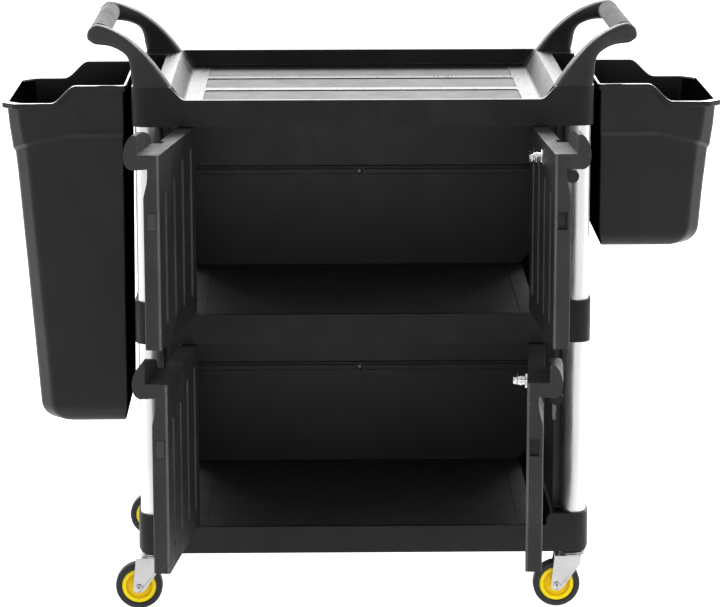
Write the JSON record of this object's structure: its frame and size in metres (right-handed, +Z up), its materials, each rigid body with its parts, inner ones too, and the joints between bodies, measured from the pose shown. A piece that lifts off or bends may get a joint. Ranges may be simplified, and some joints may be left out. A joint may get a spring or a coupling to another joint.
{
  "type": "housekeeping cart",
  "caption": "Black plastic housekeeping cart with shelves on aluminium posts, lockable cupboard doors, a push handle and a hanging bin at each end, and swivel castors.",
  "frame": {"origin": "on the floor, under the middle of the whole cart with its doors open", "axes": "+X runs along the cart to the right, the doors face -Y, +Z is up"},
  "size_m": [1.134, 0.7128, 0.932],
  "materials": {
    "shelf_plastic": "fine-textured black injection-moulded polypropylene",
    "door_plastic": "coarse-grained dark grey structural-foam plastic",
    "panel_plastic": "smooth black plastic sheet",
    "bin_plastic": "smooth satin black plastic",
    "grip_rubber": "grey fluted soft grip",
    "satin_aluminium": "satin anodised tube",
    "zinc": "bright zinc-plated pressed steel",
    "chrome": "bright chrome",
    "dark_steel": "dark steel",
    "key_black": "black moulded key bow",
    "hub_yellow": "yellow moulded wheel centre",
    "tyre": "dark grey-black rubber tread"
  },
  "bodies": {
    "frame": {"top_tray": "shelf_plastic", "middle_shelf": "shelf_plastic", "lowest_shelf": "shelf_plastic", "post_front_left": "satin_aluminium", "post_front_right": "satin_aluminium", "post_rear_left": "satin_aluminium", "post_rear_right": "satin_aluminium", "upper_side_panel_left": "panel_plastic", "upper_side_panel_right": "panel_plastic", "upper_back_panel": "panel_plastic", "upper_back_strip": "panel_plastic", "upper_panel_screw": "dark_steel", "lower_side_panel_left": "panel_plastic", "lower_side_panel_right": "panel_plastic", "lower_back_panel": "panel_plastic", "lower_back_strip": "panel_plastic", "lower_panel_screw": "dark_steel", "handle_left": "shelf_plastic", "grip_sleeve_left": "grip_rubber", "handle_right": "shelf_plastic", "grip_sleeve_right": "grip_rubber", "upper_left_hinge_rod": "zinc", "upper_right_hinge_rod": "zinc", "lower_left_hinge_rod": "zinc", "lower_right_hinge_rod": "zinc", "castor_mount_front_left": "zinc", "castor_mount_front_right": "zinc", "castor_mount_rear_left": "zinc", "castor_mount_rear_right": "zinc"},
    "upper_left_door": {"upper_left_door": "door_plastic", "upper_left_catch_magnet": "dark_steel"},
    "upper_right_lock": {"upper_right_lock_cam": "chrome", "upper_right_key": "key_black"},
    "upper_right_door": {"upper_right_door": "door_plastic", "upper_right_lock_housing": "chrome"},
    "lower_left_door": {"lower_left_door": "door_plastic", "lower_left_catch_magnet": "dark_steel"},
    "lower_right_lock": {"lower_right_lock_cam": "chrome", "lower_right_key": "key_black"},
    "lower_right_door": {"lower_right_door": "door_plastic", "lower_right_lock_housing": "chrome"},
    "tall_bin": {"tall_bin": "bin_plastic"},
    "short_bin": {"short_bin": "bin_plastic"},
    "castor_front_left": {"castor_fork_front_left": "zinc", "castor_axle_front_left": "dark_steel"},
    "wheel_front_left": {"wheel_hub_front_left": "hub_yellow", "wheel_tyre_front_left": "tyre"},
    "castor_front_right": {"castor_fork_front_right": "zinc", "castor_axle_front_right": "dark_steel"},
    "wheel_front_right": {"wheel_hub_front_right": "hub_yellow", "wheel_tyre_front_right": "tyre"},
    "castor_rear_left": {"castor_fork_rear_left": "zinc", "castor_axle_rear_left": "dark_steel"},
    "wheel_rear_left": {"wheel_hub_rear_left": "hub_yellow", "wheel_tyre_rear_left": "tyre"},
    "castor_rear_right": {"castor_fork_rear_right": "zinc", "castor_axle_rear_right": "dark_steel"},
    "wheel_rear_right": {"wheel_hub_rear_right": "hub_yellow", "wheel_tyre_rear_right": "tyre"}
  },
  "joints": [
    {"name": "upper_left_door_hinge", "type": "hinge", "parent": "frame", "child": "upper_left_door", "pos_m": [-0.273, -0.08306, 0.6329], "axis": [0, 0, 1], "range_deg": [-5, 99]},
    {"name": "upper_right_door_hinge", "type": "hinge", "parent": "frame", "child": "upper_right_door", "pos_m": [0.273, -0.08306, 0.6329], "axis": [0, 0, -1], "range_deg": [-10.5, 93.5]},
    {"name": "upper_right_lock_turn", "type": "hinge", "parent": "upper_right_door", "child": "upper_right_lock", "pos_m": [0.28191, -0.22878, 0.7534], "axis": [0.9981, 0.061, 0], "range_deg": [0, 90]},
    {"name": "lower_left_door_hinge", "type": "hinge", "parent": "frame", "child": "lower_left_door", "pos_m": [-0.273, -0.08306, 0.2879], "axis": [0, 0, 1], "range_deg": [-6.6, 97.4]},
    {"name": "lower_right_door_hinge", "type": "hinge", "parent": "frame", "child": "lower_right_door", "pos_m": [0.273, -0.08306, 0.2879], "axis": [0, 0, -1], "range_deg": [-18.5, 85.5]},
    {"name": "lower_right_lock_turn", "type": "hinge", "parent": "lower_right_door", "child": "lower_right_lock", "pos_m": [0.26155, -0.22861, 0.4084], "axis": [0.9969, -0.0785, 0], "range_deg": [0, 90]},
    {"name": "tall_bin_lift", "type": "slide", "parent": "frame", "child": "tall_bin", "axis": [0, 0, 1], "range_m": [0, 0.035]},
    {"name": "short_bin_lift", "type": "slide", "parent": "frame", "child": "short_bin", "axis": [0, 0, 1], "range_m": [0, 0.035]},
    {"name": "castor_swivel_front_left", "type": "hinge", "parent": "frame", "child": "castor_front_left", "pos_m": [-0.334, -0.07356, 0.09], "axis": [0, 0, 1], "continuous": true},
    {"name": "wheel_spin_front_left", "type": "hinge", "parent": "castor_front_left", "child": "wheel_front_left", "pos_m": [-0.359, -0.07356, 0.0375], "axis": [0, 1, 0], "continuous": true},
    {"name": "castor_swivel_front_right", "type": "hinge", "parent": "frame", "child": "castor_front_right", "pos_m": [0.334, -0.07356, 0.09], "axis": [0, 0, 1], "continuous": true},
    {"name": "wheel_spin_front_right", "type": "hinge", "parent": "castor_front_right", "child": "wheel_front_right", "pos_m": [0.309, -0.07356, 0.0375], "axis": [0, 1, 0], "continuous": true},
    {"name": "castor_swivel_rear_left", "type": "hinge", "parent": "frame", "child": "castor_rear_left", "pos_m": [-0.334, 0.33244, 0.09], "axis": [0, 0, 1], "continuous": true},
    {"name": "wheel_spin_rear_left", "type": "hinge", "parent": "castor_rear_left", "child": "wheel_rear_left", "pos_m": [-0.359, 0.33244, 0.0375], "axis": [0, 1, 0], "continuous": true},
    {"name": "castor_swivel_rear_right", "type": "hinge", "parent": "frame", "child": "castor_rear_right", "pos_m": [0.334, 0.33244, 0.09], "axis": [0, 0, 1], "continuous": true},
    {"name": "wheel_spin_rear_right", "type": "hinge", "parent": "castor_rear_right", "child": "wheel_rear_right", "pos_m": [0.309, 0.33244, 0.0375], "axis": [0, 1, 0], "continuous": true}
  ]
}
